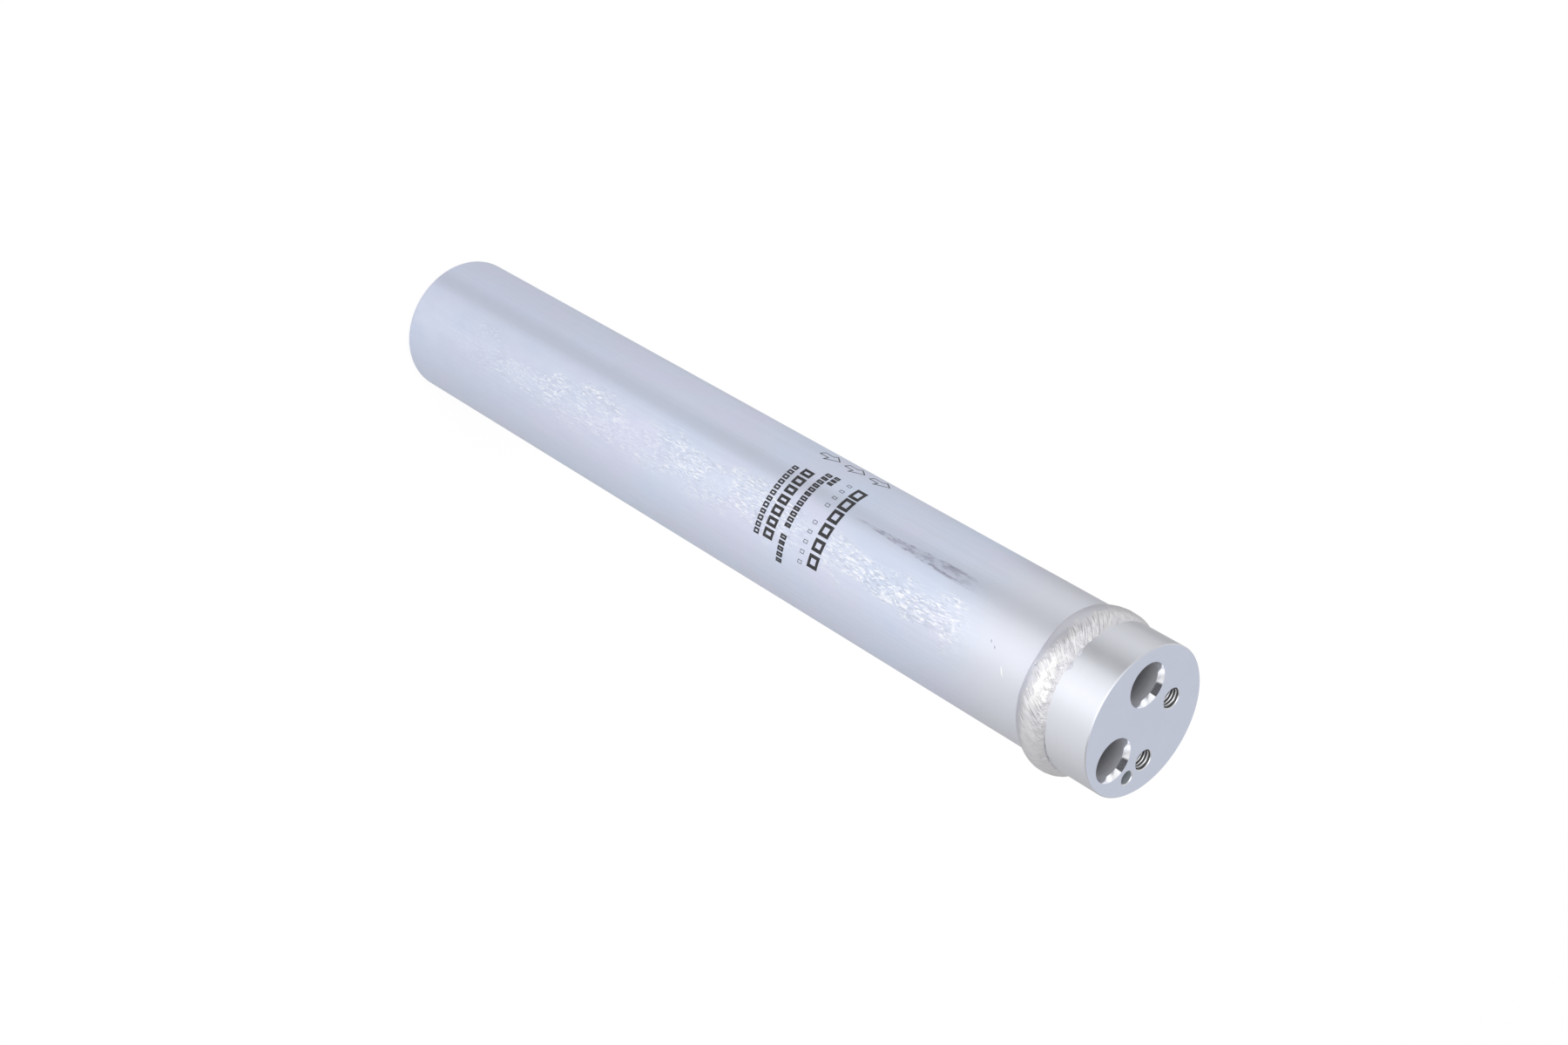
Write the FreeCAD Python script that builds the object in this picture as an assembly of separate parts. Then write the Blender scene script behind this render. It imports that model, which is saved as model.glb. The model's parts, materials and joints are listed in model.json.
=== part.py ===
import FreeCAD, Part
import math
import os

# Filter drier (receiver drier) of a car's air conditioning, in millimetres, +Z up.
# It stands on the closed end of its can, with the ports of its head on top.
# The origin is the middle of the flat base. The flow comes in at port A, goes down
# through the bed to the sump, and up the pickup tube to port B.

# Can: one extruded cup with a flat, closed end
can_d = 45.0
can_wall = 2.0
can_base = 3.0
can_h = 283.5
can_corner_r = 2.5
can_inner_corner_r = 1.5

# Head: one turned block, as wide as the can, with a spigot inside the can's mouth
head_h = 19.5
head_edge_break = 0.3
spigot_h = 12.0
spigot_gap = 0.05
spigot_lead = 1.0

# Weld: both edges are bevelled, and the bead fills the groove and stands proud of it
weld_bevel = 1.5
weld_root_depth = 1.7
bead_w = 10.4
bead_rise = 2.0
bead_rise_change = 0.6
bead_heavy_side = -103.0
bead_toe_wander = 0.35
bead_toe_waves = 5
bead_sections = 24
bead_sunk = 0.4

# Ports: round sockets with a lead-in for the O-ring of the pipe that plugs in
port_r = 6.05
port_mouth_r = 6.7
port_lead_h = 1.8
port_h = 15.0
port_x = -5.8
port_a_y = 10.1
port_b_y = -11.9
inlet_r = 4.0

# Tapped holes of the two clamp bolts, at the tap drill's size (M6)
tap_r = 2.5
tap_h = 14.0
tap_mouth_r = 3.2
bolt_a_x = 7.95
bolt_a_y = 7.6
bolt_b_x = 7.9
bolt_b_y = -10.6

# Blind hole for the locating pin of the pipe block
pin_hole_r = 2.0
pin_hole_h = 8.0
pin_x = 3.9
pin_y = -16.2
drill_point_deg = 118.0

# Pickup tube, pressed into the head below port B, nearer the middle than the port
tube_r = 4.0
tube_wall = 1.0
tube_socket_h = 10.0
tube_to_base = 7.0

# Strainer on the tube's lower end: a moulded cage with a mesh sleeve inside
cage_wall = 1.4
cage_grip_h = 6.0
cage_floor = 1.2
cage_to_base = 1.5
cage_to_spacer = 1.4
cage_windows = 4
cage_window_w = 3.6
mesh_t = 0.3

# Sump spacer: a band that stands on the can's base and carries the stack
sump_h = 24.0
spacer_wall = 1.0
spacer_gap = 0.2
spacer_holes = 6
spacer_hole_r = 3.0

# Perforated plates: two like stampings with a turned rim and a collar round the tube
plate_t = 0.8
plate_gap = 0.15
rim_h = 5.0
rim_bend_r = 1.6
collar_h = 2.4
collar_gap = 0.1
plate_hole_r = 1.6
plate_hole_pitch = 6.2
plate_hole_edge = 1.0

# Screens, filter pads and the bed of desiccant beads between them
stack_gap = 0.1
screen_t = 0.5
pad_h = 6.0

# Hold-down spring between the upper plate and the head, with closed and ground ends
spring_h = 30.0
spring_wire_r = 0.85
spring_to_bend = 0.1
spring_active_turns = 4
spring_closed_pitch = 1.9
spring_steps = 20

# Places that follow from the sizes above
can_r = can_d / 2
bore_r = can_r - can_wall
face_z = can_h + head_h
spigot_z = can_h - spigot_h
spigot_r = bore_r - spigot_gap
port_floor_z = face_z - port_h
plate_r = bore_r - plate_gap
stack_r = bore_r - stack_gap
spacer_r = min(bore_r - can_inner_corner_r, plate_r - rim_bend_r) - spacer_gap
cage_r = tube_r + cage_wall
tube_off = spacer_r - spacer_wall - cage_to_spacer - cage_r
port_b_off = math.hypot(port_x, port_b_y)
tube_x = port_x * tube_off / port_b_off
tube_y = port_b_y * tube_off / port_b_off
tube_inner_r = tube_r - tube_wall
tube_top_z = spigot_z + tube_socket_h
tube_end_z = can_base + tube_to_base
cage_floor_z = can_base + cage_to_base
lower_plate_z = can_base + sump_h
lower_screen_z = lower_plate_z + plate_t
lower_pad_z = lower_screen_z + screen_t
bed_z = lower_pad_z + pad_h
upper_plate_z = spigot_z - spring_h - plate_t
upper_screen_z = upper_plate_z - screen_t
upper_pad_z = upper_screen_z - pad_h

up = FreeCAD.Vector(0, 0, 1)


def at(x, y, z):
    return FreeCAD.Vector(x, y, z)


def turned(points):
    """A solid of revolution about Z, from a closed outline of (radius, height) points."""
    corners = [at(r, 0, z) for r, z in points]
    outline = Part.makePolygon(corners + corners[:1])
    return Part.Face(outline).revolve(at(0, 0, 0), up, 360)


def cylinder(r, z0, z1, x=0.0, y=0.0):
    return Part.makeCylinder(r, z1 - z0, at(x, y, z0))


def cone(r0, r1, z0, z1, x, y):
    return Part.makeCone(r0, r1, z1 - z0, at(x, y, z0))


def round_edges(shape, radius, r, z):
    """Rounds the circular edges about Z that have radius r at height z."""
    close = 0.001
    edges = []
    for edge in shape.Edges:
        curve = edge.Curve
        if not isinstance(curve, Part.Circle):
            continue
        if abs(curve.Radius - r) < close and abs(curve.Center.z - z) < close:
            edges.append(edge)
    return shape.makeFillet(radius, edges)


def can():
    """An open cup. Its mouth is bevelled outside for the weld."""
    land_r = can_r - weld_bevel
    cup = turned([(0, 0), (can_r, 0), (can_r, can_h - weld_bevel), (land_r, can_h),
                  (bore_r, can_h), (bore_r, can_base), (0, can_base)])
    cup = round_edges(cup, can_corner_r, can_r, 0)
    return round_edges(cup, can_inner_corner_r, bore_r, can_base)


def drilled(r, h, mouth_r, x, y):
    """A blind hole in the face: a countersink, a round wall and the drill's point."""
    sink_h = mouth_r - r
    point_h = r / math.tan(math.radians(drill_point_deg / 2))
    hole = cylinder(r, face_z - h, face_z, x, y)
    hole = hole.fuse(cone(0, r, face_z - h - point_h, face_z - h, x, y))
    if sink_h > 0:
        hole = hole.fuse(cone(r, mouth_r, face_z - sink_h, face_z, x, y))
    return hole


def port(x, y):
    """A port's socket: the lead-in cone, then the round wall down to a flat floor."""
    lead_z = face_z - port_lead_h
    socket = cylinder(port_r, port_floor_z, lead_z, x, y)
    return socket.fuse(cone(port_r, port_mouth_r, lead_z, face_z, x, y))


def head():
    """The turned block with its spigot, two ports, their passages and three holes."""
    shoulder_r = can_r - weld_bevel
    block = turned([(0, spigot_z), (spigot_r - spigot_lead, spigot_z),
                    (spigot_r, spigot_z + spigot_lead), (spigot_r, can_h),
                    (shoulder_r, can_h), (can_r, can_h + weld_bevel),
                    (can_r, face_z - head_edge_break), (can_r - head_edge_break, face_z),
                    (0, face_z)])
    cuts = [
        port(port_x, port_a_y),
        cylinder(inlet_r, spigot_z, port_floor_z, port_x, port_a_y),
        port(port_x, port_b_y),
        cylinder(tube_inner_r, tube_top_z, port_floor_z, tube_x, tube_y),
        cylinder(tube_r, spigot_z, tube_top_z, tube_x, tube_y),
        drilled(tap_r, tap_h, tap_mouth_r, bolt_a_x, bolt_a_y),
        drilled(tap_r, tap_h, tap_mouth_r, bolt_b_x, bolt_b_y),
        drilled(pin_hole_r, pin_hole_h, pin_hole_r, pin_x, pin_y),
    ]
    for cut in cuts:
        block = block.cut(cut)
    return block


def bead_section(angle):
    """The bead's closed outline in the half plane at this angle round the can.

    The cap is one arc. It is highest on the heavy side, its two toes wander up and
    down, and its ends and its wedge-shaped root lie inside the metal, which is cut
    away afterwards.
    """
    lean = math.cos(angle - math.radians(bead_heavy_side))
    rise = bead_rise + bead_rise_change * lean
    half = bead_w / 2
    cap_r = (half ** 2 + bead_rise ** 2) / (2 * bead_rise)
    cap_mid = can_r + rise - cap_r
    sunk_r = can_r - bead_sunk
    reach = math.sqrt(cap_r ** 2 - (sunk_r - cap_mid) ** 2)
    low = can_h - reach + bead_toe_wander * math.sin(bead_toe_waves * angle)
    high = can_h + reach + bead_toe_wander * math.cos((bead_toe_waves - 2) * angle)
    root_r = can_r - weld_root_depth
    root_half = weld_root_depth - weld_bevel

    def place(r, z):
        return at(r * math.cos(angle), r * math.sin(angle), z)

    cap = Part.Arc(place(sunk_r, low), place(can_r + rise, can_h), place(sunk_r, high))
    corners = [place(sunk_r, high), place(sunk_r, can_h + weld_bevel),
               place(root_r, can_h + root_half), place(root_r, can_h - root_half),
               place(sunk_r, can_h - weld_bevel), place(sunk_r, low)]
    root = Part.makePolygon(corners)
    return Part.Wire([cap.toShape()] + root.Edges)


def weld_bead(can_shape, head_shape):
    """One closed loft round the joint, less the can and the head that it lies on."""
    step = 2 * math.pi / bead_sections
    sections = [bead_section(step * i) for i in range(bead_sections)]
    ring = Part.makeLoft(sections, True, False, True)
    return ring.cut(can_shape).cut(head_shape)


def pickup_tube():
    outside = cylinder(tube_r, tube_end_z, tube_top_z, tube_x, tube_y)
    return outside.cut(cylinder(tube_inner_r, tube_end_z, tube_top_z, tube_x, tube_y))


def strainer_cage():
    """A cap with a grip on the tube, a floor, and windows between its ribs."""
    top_z = tube_end_z + cage_grip_h
    cage = cylinder(cage_r, cage_floor_z, top_z, tube_x, tube_y)
    cage = cage.cut(cylinder(tube_r, cage_floor_z + cage_floor, top_z, tube_x, tube_y))
    window_z = cage_floor_z + cage_floor
    window_h = tube_end_z - window_z
    for i in range(cage_windows):
        window = Part.makeBox(2 * cage_r, cage_window_w, window_h,
                              at(0, -cage_window_w / 2, window_z))
        window.rotate(at(0, 0, 0), up, 360 / cage_windows * i)
        window.translate(at(tube_x, tube_y, 0))
        cage = cage.cut(window)
    return cage


def strainer_mesh():
    """A sleeve of fine mesh inside the cage, from its floor to the tube's end."""
    z0 = cage_floor_z + cage_floor
    sleeve = cylinder(tube_r, z0, tube_end_z, tube_x, tube_y)
    return sleeve.cut(cylinder(tube_r - mesh_t, z0, tube_end_z, tube_x, tube_y))


def sump_spacer():
    """A band that clears the roundings of the can's base and of the plate that it
    carries, with holes for the liquid."""
    band = cylinder(spacer_r, can_base, lower_plate_z)
    band = band.cut(cylinder(spacer_r - spacer_wall, can_base, lower_plate_z))
    for i in range(spacer_holes):
        hole = Part.makeCylinder(spacer_hole_r, can_r, at(0, 0, can_base + sump_h / 2), at(1, 0, 0))
        hole.rotate(at(0, 0, 0), up, 360 / spacer_holes * (i + 0.5))
        band = band.cut(hole)
    return band


def plate_holes(z0, z1):
    """The plate's holes: a hexagonal pattern that keeps off the rim and the collar."""
    reach = plate_r - rim_bend_r - plate_t - plate_hole_edge - plate_hole_r
    keep_off = tube_r + collar_gap + plate_t + plate_hole_edge + plate_hole_r
    row_step = plate_hole_pitch * math.sin(math.radians(60))
    rows = int(reach / row_step)
    columns = int(reach / plate_hole_pitch) + 1
    holes = []
    for row in range(-rows, rows + 1):
        for column in range(-columns, columns + 1):
            x = (column + 0.5 * (row % 2)) * plate_hole_pitch
            y = row * row_step
            if math.hypot(x, y) > reach or math.hypot(x - tube_x, y - tube_y) < keep_off:
                continue
            holes.append(cylinder(plate_hole_r, z0, z1, x, y))
    return holes


def perforated_plate(z, way):
    """A stamping whose flat lies from z up by its thickness. way is +1 where its rim
    and collar are turned up, and -1 where they are turned down."""
    flat_z = z if way > 0 else z + plate_t
    far_z = flat_z + way * rim_h
    inside_z = flat_z + way * plate_t
    inside_r = plate_r - plate_t
    dish = cylinder(plate_r, min(flat_z, far_z), max(flat_z, far_z))
    dish = round_edges(dish, rim_bend_r, plate_r, flat_z)
    hollow = cylinder(inside_r, min(inside_z, far_z), max(inside_z, far_z))
    hollow = round_edges(hollow, rim_bend_r - plate_t, inside_r, inside_z)
    dish = dish.cut(hollow)
    collar_r = tube_r + collar_gap + plate_t
    collar_far_z = flat_z + way * collar_h
    low, high = min(flat_z, collar_far_z), max(flat_z, collar_far_z)
    dish = dish.fuse(cylinder(collar_r, low, high, tube_x, tube_y))
    dish = dish.cut(cylinder(tube_r + collar_gap, low, high, tube_x, tube_y))
    for hole in plate_holes(z, z + plate_t):
        dish = dish.cut(hole)
    return dish.removeSplitter()


def stack_disc(z0, z1):
    """A layer that fills the can's bore and lets the pickup tube through."""
    disc = cylinder(stack_r, z0, z1)
    return disc.cut(cylinder(tube_r, z0, z1, tube_x, tube_y))


def spring_path(z0, z1):
    """Points of the wire's centre line: a closed turn at each end and open turns between."""
    mean_r = plate_r - rim_bend_r - spring_to_bend - spring_wire_r
    turns = spring_active_turns + 2
    open_rise = z1 - z0 - 2 * spring_closed_pitch
    points = []
    for i in range(turns * spring_steps + 1):
        turn = i / spring_steps
        closed = min(turn, 1) + max(turn - (turns - 1), 0)
        active = min(max(turn - 1, 0), spring_active_turns)
        z = z0 + closed * spring_closed_pitch + active / spring_active_turns * open_rise
        angle = 2 * math.pi * turn
        points.append(at(mean_r * math.cos(angle), mean_r * math.sin(angle), z))
    return points


def hold_down_spring():
    """Round wire in short straight steps with mitred joints, and both ends ground flat
    to the fitted height."""
    z0 = upper_plate_z + plate_t
    points = spring_path(z0, spigot_z)
    section = Part.Wire(Part.makeCircle(spring_wire_r, points[0], points[1] - points[0]))
    mitred = 1
    wire = Part.makePolygon(points).makePipeShell([section], True, False, mitred)
    return wire.common(cylinder(can_r, z0, spigot_z))


def save(name, shape):
    shape.exportStep("parts/" + name + ".step")


os.makedirs("parts", exist_ok=True)

can_shape = can()
head_shape = head()
pieces = {
    "can": can_shape,
    "head": head_shape,
    "weld_bead": weld_bead(can_shape, head_shape),
    "pickup_tube": pickup_tube(),
    "strainer_cage": strainer_cage(),
    "strainer_mesh": strainer_mesh(),
    "sump_spacer": sump_spacer(),
    "lower_plate": perforated_plate(lower_plate_z, -1),
    "lower_screen": stack_disc(lower_screen_z, lower_pad_z),
    "lower_filter_pad": stack_disc(lower_pad_z, bed_z),
    "desiccant_bed": stack_disc(bed_z, upper_pad_z),
    "upper_filter_pad": stack_disc(upper_pad_z, upper_screen_z),
    "upper_screen": stack_disc(upper_screen_z, upper_plate_z),
    "upper_plate": perforated_plate(upper_plate_z, 1),
    "hold_down_spring": hold_down_spring(),
}
for name, shape in pieces.items():
    print(name, shape.isValid(), len(shape.Solids), round(shape.Volume, 1))
    save(name, shape)
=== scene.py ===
import json
import math
from functools import partial

import bmesh
import bpy
import numpy as np
from bpy.props import FloatProperty, FloatVectorProperty, PointerProperty
from mathutils import Matrix, Vector
from mathutils.geometry import delaunay_2d_cdt


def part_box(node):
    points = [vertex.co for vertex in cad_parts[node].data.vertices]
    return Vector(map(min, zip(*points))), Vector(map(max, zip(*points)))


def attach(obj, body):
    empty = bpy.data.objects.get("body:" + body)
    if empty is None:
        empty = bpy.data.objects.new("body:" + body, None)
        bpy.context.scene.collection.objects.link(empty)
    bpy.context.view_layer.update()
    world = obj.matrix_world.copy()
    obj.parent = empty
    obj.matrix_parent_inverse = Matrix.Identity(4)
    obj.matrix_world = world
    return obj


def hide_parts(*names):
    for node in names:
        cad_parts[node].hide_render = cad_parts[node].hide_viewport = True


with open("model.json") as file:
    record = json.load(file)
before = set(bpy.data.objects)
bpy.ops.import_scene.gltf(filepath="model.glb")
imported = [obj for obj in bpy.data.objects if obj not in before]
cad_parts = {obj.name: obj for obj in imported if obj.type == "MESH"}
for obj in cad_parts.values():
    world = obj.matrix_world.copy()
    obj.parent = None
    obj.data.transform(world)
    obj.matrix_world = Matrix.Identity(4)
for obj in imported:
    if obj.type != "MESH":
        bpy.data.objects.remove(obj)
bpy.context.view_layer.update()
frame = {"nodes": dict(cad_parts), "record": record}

bl_info = {
    "name": "Filter drier",
    "version": (1, 0, 0),
    "blender": (4, 5, 0),
    "location": "3D View > Sidebar > Drier",
    "description": "Dresses the solids of a filter drier with finished surfaces and materials",
    "category": "Mesh",
}

# Everything is in metres, in the frame of the solids: the part stands on z = 0.
MM = 0.001
CAN_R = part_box("can")[1].x
MOUTH_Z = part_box("can")[1].z
FACE_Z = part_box("head")[1].z
SPIGOT_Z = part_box("head")[0].z
MOUNTS = {mount["name"]: mount for mount in frame["record"]["mounts"]}


def linear(hex_colour):
    """An sRGB hex colour as linear red, green and blue."""
    parts = [int(hex_colour[i:i + 2], 16) / 255 for i in (1, 3, 5)]
    return [p / 12.92 if p <= 0.04045 else ((p + 0.055) / 1.055) ** 2.4 for p in parts]


def length(name, description, millimetres):
    return FloatProperty(name=name, description=description, default=millimetres * MM,
                         subtype="DISTANCE", unit="LENGTH", precision=5)


def colour(name, description, hex_colour):
    return FloatVectorProperty(name=name, description=description, size=3, min=0, max=1,
                               subtype="COLOR", default=linear(hex_colour))


def factor(name, description, default):
    return FloatProperty(name=name, description=description, default=default, min=0, max=1,
                         subtype="FACTOR")


class CanSettings(bpy.types.PropertyGroup):
    wall: length("Wall", "Thickness of the can's side", 2.0)
    base: length("Base", "Thickness of the closed end", 3.0)
    corner_r: length("Corner", "Outer rounding of the closed end", 2.5)
    inner_corner_r: length("Inner corner", "Inner rounding of the closed end", 1.5)
    bevel: length("Weld bevel", "Bevel of the mouth below the weld", 1.5)
    aluminium: colour("Aluminium", "Drawn aluminium of the can", "#DCE2F2")
    warmed: colour("Warmed end", "Aluminium beside the weld, dulled by its heat", "#DFE1EB")
    scuff: colour("Scuffs", "Bright rubbed marks on the can", "#FFFFFF")
    smudge: colour("Smudge", "Dark rubbed streak near the weld", "#A0A1B4")


class HeadSettings(bpy.types.PropertyGroup):
    edge_break: length("Edge break", "Chamfer round the face", 0.3)
    bevel: length("Weld bevel", "Bevel of the shoulder below the weld", 1.5)
    spigot_gap: length("Spigot gap", "Clearance of the spigot in the can, on the radius", 0.05)
    spigot_lead: length("Spigot lead", "Chamfer of the spigot's end", 1.0)
    port_mouth_r: length("Port mouth", "Radius of a port's lead-in at the face", 6.7)
    port_lead: length("Port lead-in", "Depth of a port's lead-in", 1.8)
    port_depth: length("Port depth", "Depth of a port's flat floor", 15.0)
    inlet_r: length("Inlet passage", "Radius of the passage below port A", 4.0)
    tube_inner_r: length("Tube passage", "Radius of the passage above the pickup tube", 3.0)
    tube_r: length("Tube socket", "Radius of the pickup tube's socket", 4.0)
    tube_socket: length("Tube socket depth", "Depth of the pickup tube's socket", 10.0)
    tap_mouth_r: length("Tap mouth", "Radius of a bolt hole's countersink at the face", 3.2)
    tap_depth: length("Tap depth", "Depth of a bolt hole's full wall", 14.0)
    thread_r: length("Thread radius", "Radius of the thread's grooves", 3.0)
    thread_pitch: length("Thread pitch", "Rise of the thread in one turn", 1.0)
    pin_break: length("Pin hole edge", "Edge break of the pin hole", 0.25)
    turned: colour("Turned side", "Turned aluminium of the head's side", "#E8EAF2")
    faced: colour("Face", "Faced aluminium of the ported end", "#E0E6F7")
    polished: colour("Lead-ins", "Bright cut aluminium of the ports' lead-ins", "#F2F3F7")
    bored: colour("Bores", "Satin aluminium of the bores", "#E0E1E8")
    # The pin hole's colour is darker than the other cut faces: painted shade of the narrow hole.
    drilled: colour("Pin hole", "Dull drilled aluminium of the pin hole", "#BCC5CB")
    tapped: colour("Threads", "Aluminium of the threads' crests", "#F0F1F4")


class WeldSettings(bpy.types.PropertyGroup):
    low_z: length("Can-side toe", "Height of the toe on the can", 278.3)
    high_z: length("Head-side toe", "Height of the toe on the head", 288.7)
    rise: length("Rise", "Mean height of the bead above the can", 2.0)
    rise_change: length("Rise change", "How much the heavy side is higher than that", 0.6)
    heavy_side: FloatProperty(name="Heavy side", default=-103, min=-180, max=180,
                              description="Direction of the heavy side, in degrees")
    skew: FloatProperty(name="Skew", default=1.1, min=1, max=2,
                        description="Above 1, the crest lies nearer the head")
    slant: FloatProperty(name="Slant", default=0.62, min=0, max=2,
                         description="Shift of a ripple along the bead per unit across it")
    ripple: length("Ripple", "Height of the ripples", 0.05)
    ripple_step: length("Ripple spacing", "Spacing of the ripples along the bead", 0.6)
    grain: length("Grain", "Height of the grains at the head-side toe", 0.05)
    smooth: colour("Smooth band", "Clean cast aluminium beside the can-side toe", "#DCDDE6")
    brushed: colour("Rippled top", "Bright rippled top of the bead", "#E9E8EC")
    # Painted highlight colour: the bead's bright patch and the ripples' light lines.
    painted_highlight: colour("Burnished patch", "Brightest patch of the bead's top", "#FFFFFF")


class PrintSettings(bpy.types.PropertyGroup):
    lift: length("Film", "Thickness of the ink film", 0.02)
    line: length("Line width", "Width of the arrows' outline", 0.38)
    ink: colour("Ink", "Printed ink", "#12121A")


class StageSettings(bpy.types.PropertyGroup):
    lens: length("Lens", "Focal length of the camera", 59.73)
    floor_white: factor("Floor white", "Share of the floor's white that no shadow reaches", 0.86)
    lamp_power: FloatProperty(name="Softbox", description="Power of the overhead softbox",
                              default=5.0, min=0, subtype="POWER", unit="POWER")


# Meshes

def grid_faces(rows, columns, closed=False):
    """Quads of a grid whose last column joins its first. closed joins the rows as well."""
    row = np.arange(rows if closed else rows - 1)[:, None]
    column = np.arange(columns)[None, :]
    above = (row + 1) % rows
    beside = (column + 1) % columns
    corners = [row * columns + column, row * columns + beside,
               above * columns + beside, above * columns + column]
    return np.stack(corners, -1).reshape(-1, 4)


def around(profile, columns, x=0.0, y=0.0):
    """A surface of revolution: each point (radius, height) of the profile goes round the
    upright axis through x and y, as (x + r cos a, y + r sin a, z)."""
    r, z = np.asarray(profile, float).T[:, :, None]
    angle = np.linspace(0, 2 * math.pi, columns, endpoint=False)
    points = [x + r * np.cos(angle), y + r * np.sin(angle), z + 0 * angle]
    return np.stack(points, -1)


def corner(middle_r, middle_z, radius, start_deg, end_deg):
    """Points (radius, height) on a quarter round: its middle plus (cos t, sin t) of its radius."""
    steps = 8
    t = np.radians(np.linspace(start_deg, end_deg, steps + 1))
    return list(zip(middle_r + radius * np.cos(t), middle_z + radius * np.sin(t)))


def add_object(name, points, faces):
    """A new object at the origin, with its place in its mesh."""
    mesh = bpy.data.meshes.new(name)
    mesh.from_pydata(np.asarray(points).reshape(-1, 3), [], faces)
    made = bpy.data.objects.new(name, mesh)
    bpy.context.scene.collection.objects.link(made)
    return made


def close_mesh(mesh):
    """Merges the points that meet at seams and poles and turns all faces outwards."""
    same = 0.0002 * MM
    shape = bmesh.new()
    shape.from_mesh(mesh)
    bmesh.ops.remove_doubles(shape, verts=shape.verts, dist=same)
    bmesh.ops.dissolve_degenerate(shape, dist=same, edges=shape.edges)
    bmesh.ops.recalc_face_normals(shape, faces=shape.faces)
    shape.to_mesh(mesh)
    shape.free()


def shade(mesh, sharp_deg=15):
    """Smooth shading that breaks at edges sharper than that."""
    mesh.shade_smooth()
    mesh.set_sharp_from_angle(angle=math.radians(sharp_deg))


def stand_for(piece, slot, *nodes):
    """Attaches a piece to the root body and hides the solids that it stands for. Its slot is not
    used.
    """
    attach(piece, "root")
    if nodes:
        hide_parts(*nodes)


def ring_noise(seed, cells_around, cells_across, turn, across):
    """Smooth random heights from -1 to 1 on a ring: random numbers at the corners of a
    lattice that closes on itself, blended inside each cell by 3t^2 - 2t^3 both ways."""
    lattice = np.random.default_rng(seed).uniform(-1, 1, (cells_around, cells_across + 2))
    u, v = turn * cells_around, across * cells_across
    i, j = np.floor(u).astype(int), np.floor(v).astype(int)
    u, v = u - i, v - j
    u, v = u * u * (3 - 2 * u), v * v * (3 - 2 * v)
    i, after = i % cells_around, (i + 1) % cells_around
    low = lattice[i, j] * (1 - u) + lattice[after, j] * u
    high = lattice[i, j + 1] * (1 - u) + lattice[after, j + 1] * u
    return low * (1 - v) + high * v


def ease(x, start, end):
    """0 before start and 1 after end, blended between by 3t^2 - 2t^3."""
    t = np.clip((x - start) / (end - start), 0, 1)
    return t * t * (3 - 2 * t)


def hole(name):
    """A hole's place on the face and its radius, in metres, from its mount."""
    mount = MOUNTS[name]
    return (*mount["pos_m"][:2], mount["dims"]["r_mm"] * MM)


def hill(x, middle, width):
    """A bell: e to the power of minus the squared distance in widths."""
    return np.exp(-((x - middle) / width) ** 2)


# Materials

# The setting that the mode after the dot in a node's kind goes to
MODES = {"Math": "operation", "VectorMath": "operation", "MapRange": "interpolation_type",
         "Mix": "data_type", "TexNoise": "noise_dimensions"}
# EASE takes a value, start, end, low and high, and goes smoothly from low at start to high
# at end. MIX takes a share, a colour and the colour over it.
EASE = "MapRange.SMOOTHSTEP"
MIX = "Mix.RGBA"
TIMES = "Math.MULTIPLY"


def node(tree, kind, *values, stops=(), **named):
    """Adds a shader node of a kind, whose mode may follow a dot. values go to its sockets
    in order. A named one is a setting of the node, or goes to the socket of that name. A
    node or a socket as a value is linked. stops are the (position, linear colour) of a
    colour ramp."""
    kind, *mode = kind.split(".")
    made = tree.nodes.new("ShaderNode" + kind)
    if mode:
        setattr(made, MODES[kind], mode[0])
    sockets = [socket for socket in made.inputs if socket.enabled]
    filled = [(sockets[place], value) for place, value in enumerate(values)]
    for name, value in named.items():
        if hasattr(made, name):
            setattr(made, name, value)
        else:
            filled.append((made.inputs[name.replace("_", " ")], value))
    for socket, value in filled:
        if isinstance(value, bpy.types.Node):
            value = next(output for output in value.outputs if output.enabled)
        if isinstance(value, bpy.types.NodeSocket):
            tree.links.new(value, socket)
        elif isinstance(socket, bpy.types.NodeSocketColor):
            socket.default_value = (*value, 1)
        else:
            socket.default_value = value
    while stops and len(made.color_ramp.elements) < len(stops):
        made.color_ramp.elements.new(0.5)
    for place, stop in enumerate(stops):
        made.color_ramp.elements[place].position = stop[0]
    for place, stop in enumerate(stops):
        made.color_ramp.elements[place].color = (*stop[1], 1)
    return made


def empty_tree(made):
    """Empties a new material's or world's nodes, and gives node for its tree."""
    made.use_nodes = True
    made.node_tree.nodes.clear()
    return partial(node, made.node_tree)


def new_material(name):
    """A material without nodes, and node for its tree, which the functions here call add."""
    made = bpy.data.materials.new(name)
    return made, empty_tree(made)


def dimmed(base, share):
    """A share of a colour's light."""
    return [part * share for part in base]


def finished(made, add, shown, relief=None, **sockets):
    """The material with its one shader. shown is its colour. relief is a height, the
    strength of its bumps and how many millimetres they stand out."""
    if relief:
        height, strength, distance = relief
        sockets["Normal"] = add("Bump", Height=height, Strength=strength, Distance=distance * MM)
    add("OutputMaterial", add("BsdfPrincipled", Base_Color=shown, **sockets))
    return made


def millimetres(add, stretch=(1, 1, 1)):
    """The point on the piece in millimetres, from Object coordinates, times stretch. On it
    the Scale of a noise is one over the size of its grains in millimetres."""
    place = add("TexCoord").outputs["Object"]
    return add("VectorMath.MULTIPLY", place, [share / MM for share in stretch])


def window(add, value, rise_from, rise_to, fall_from, fall_to):
    """1 between rise_to and fall_from, and 0 outside rise_from and fall_to."""
    up = add(EASE, value, rise_from, rise_to)
    return add(TIMES, up, add(EASE, value, fall_from, fall_to, 1.0, 0.0))


def squares(add, one, other):
    """The sum of the squares of two values."""
    return add("Math.ADD", add("Math.POWER", one, 2), add("Math.POWER", other, 2))


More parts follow.
